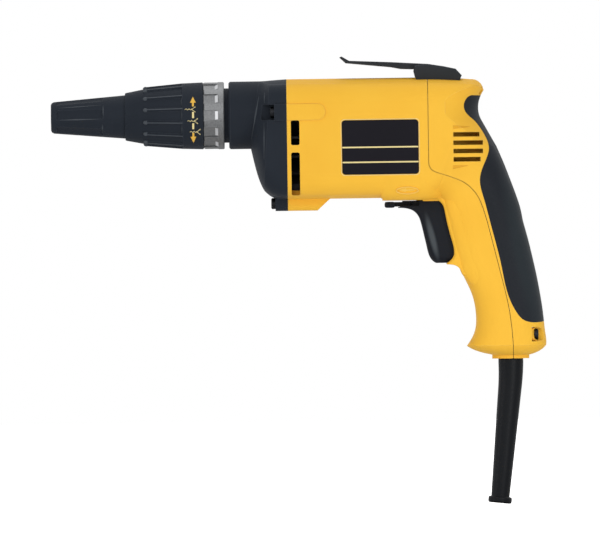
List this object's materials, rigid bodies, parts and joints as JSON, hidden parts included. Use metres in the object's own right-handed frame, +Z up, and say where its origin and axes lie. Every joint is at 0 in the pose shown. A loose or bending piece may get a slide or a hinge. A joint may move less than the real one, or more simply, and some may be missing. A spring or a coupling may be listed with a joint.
{
  "type": "drywall screwdriver",
  "caption": "Corded pistol-grip drywall screwdriver with a depth-setting nose, trigger, reversing lever, belt clip and cord boot, with motor, gears and clutch inside.",
  "frame": {"origin": "centre of the nose mouth, on the spindle axis", "axes": "+X back along the spindle, +Y across to the user's left, +Z up; the handle points down"},
  "size_m": [0.3003, 0.0678, 0.2741],
  "materials": {
    "yellow_plastic": "fine moulded texture",
    "black_plastic": "fine moulded texture",
    "dark_plastic": "smooth moulded",
    "black_rubber": "matt",
    "plated_ring": "satin",
    "steel": "ground",
    "spring_steel": "drawn wire",
    "lamination": "stacked sheet",
    "copper": "enamelled wire",
    "bronze": "sintered",
    "brass": "sheet",
    "carbon": "pressed carbon",
    "casting": "die cast",
    "label": "satin film",
    "felt": "felt",
    "fan_plastic": "moulded"
  },
  "bodies": {
    "housing": {"motor_housing": "yellow_plastic", "handle_cover": "yellow_plastic", "grip_overmould": "black_rubber", "gear_case": "black_plastic", "gear_case_screws": "spring_steel", "handle_cover_screws": "spring_steel", "bearing_plate": "casting", "label_plate_left": "label", "label_plate_right": "label", "belt_clip": "dark_plastic", "belt_clip_screw": "spring_steel", "cord_boot": "black_rubber", "cord_clamp": "dark_plastic", "cord_clamp_screws": "steel", "switch_body": "dark_plastic", "trigger_spring": "spring_steel", "stator_core": "lamination", "stator_coils": "copper", "fan_baffle": "dark_plastic", "rear_bracket": "dark_plastic", "brush_holder_left": "brass", "brush_holder_right": "brass", "carbon_brush_left": "carbon", "carbon_brush_right": "carbon", "brush_spring_left": "spring_steel", "brush_spring_right": "spring_steel", "front_bearing_outer_race": "steel", "front_bearing_balls": "steel", "rear_bearing_outer_race": "steel", "rear_bearing_balls": "steel", "spindle_front_bush": "bronze", "spindle_rear_bush": "bronze", "spindle_seal": "felt", "spigot_o_ring": "black_rubber"},
    "trigger": {"trigger": "dark_plastic"},
    "reverse_lever": {"reverse_lever": "dark_plastic"},
    "armature": {"armature_shaft": "steel", "armature_core": "lamination", "armature_windings": "copper", "commutator": "copper", "cooling_fan": "fan_plastic", "front_bearing_inner_race": "steel", "rear_bearing_inner_race": "steel"},
    "drive_gear": {"drive_gear": "steel", "clutch_spring": "spring_steel"},
    "spindle_carrier": {"spindle_thrust_washer": "bronze"},
    "spindle": {"spindle": "steel", "clutch_jaw": "steel", "bit_holder": "steel", "holder_magnet": "steel", "bit": "spring_steel"},
    "nose_ring": {"nose_ring": "plated_ring", "detent_ball": "steel", "detent_spring": "spring_steel", "collar_snap_ring": "spring_steel"},
    "depth_collar": {"depth_collar": "black_plastic"},
    "nose_cone": {"nose_cone": "black_plastic"}
  },
  "joints": [
    {"name": "trigger_pull", "type": "slide", "parent": "housing", "child": "trigger", "axis": [1, 0, 0], "range_m": [0, 0.006], "stiffness_N_per_m": 900, "springref_m": -0.004, "deforming": ["trigger_spring"]},
    {"name": "lever_swing", "type": "hinge", "parent": "housing", "child": "reverse_lever", "pos_m": [0.224, 0, -0.055], "axis": [0, 0, 1], "range_deg": [-14, 14]},
    {"name": "armature_spin", "type": "hinge", "parent": "housing", "child": "armature", "pos_m": [0.185, 0, -0.02], "axis": [1, 0, 0], "continuous": true},
    {"name": "gear_spin", "type": "hinge", "parent": "housing", "child": "drive_gear", "pos_m": [0.13, 0, 0], "axis": [1, 0, 0], "continuous": true},
    {"name": "spindle_push", "type": "slide", "parent": "housing", "child": "spindle_carrier", "axis": [1, 0, 0], "range_m": [0, 0.0024], "stiffness_N_per_m": 2500, "springref_m": -0.002, "deforming": ["clutch_spring"]},
    {"name": "spindle_spin", "type": "hinge", "parent": "spindle_carrier", "child": "spindle", "pos_m": [0.1, 0, 0], "axis": [1, 0, 0], "continuous": true},
    {"name": "nose_pull", "type": "slide", "parent": "housing", "child": "nose_ring", "axis": [-1, 0, 0], "range_m": [0, 0.01]},
    {"name": "collar_turn", "type": "hinge", "parent": "nose_ring", "child": "depth_collar", "pos_m": [0.07, 0, 0], "axis": [1, 0, 0], "range_deg": [-180, 540]},
    {"name": "cone_feed", "type": "slide", "parent": "nose_ring", "child": "nose_cone", "axis": [1, 0, 0], "range_m": [-0.003, 0.009]}
  ],
  "couplings": [
    {"joint": "gear_spin", "follows": "armature_spin", "ratio": -0.16279},
    {"joint": "spindle_spin", "follows": "armature_spin", "ratio": -0.16279},
    {"joint": "collar_turn", "follows": "cone_feed", "rad_per_m": 1046.2}
  ]
}
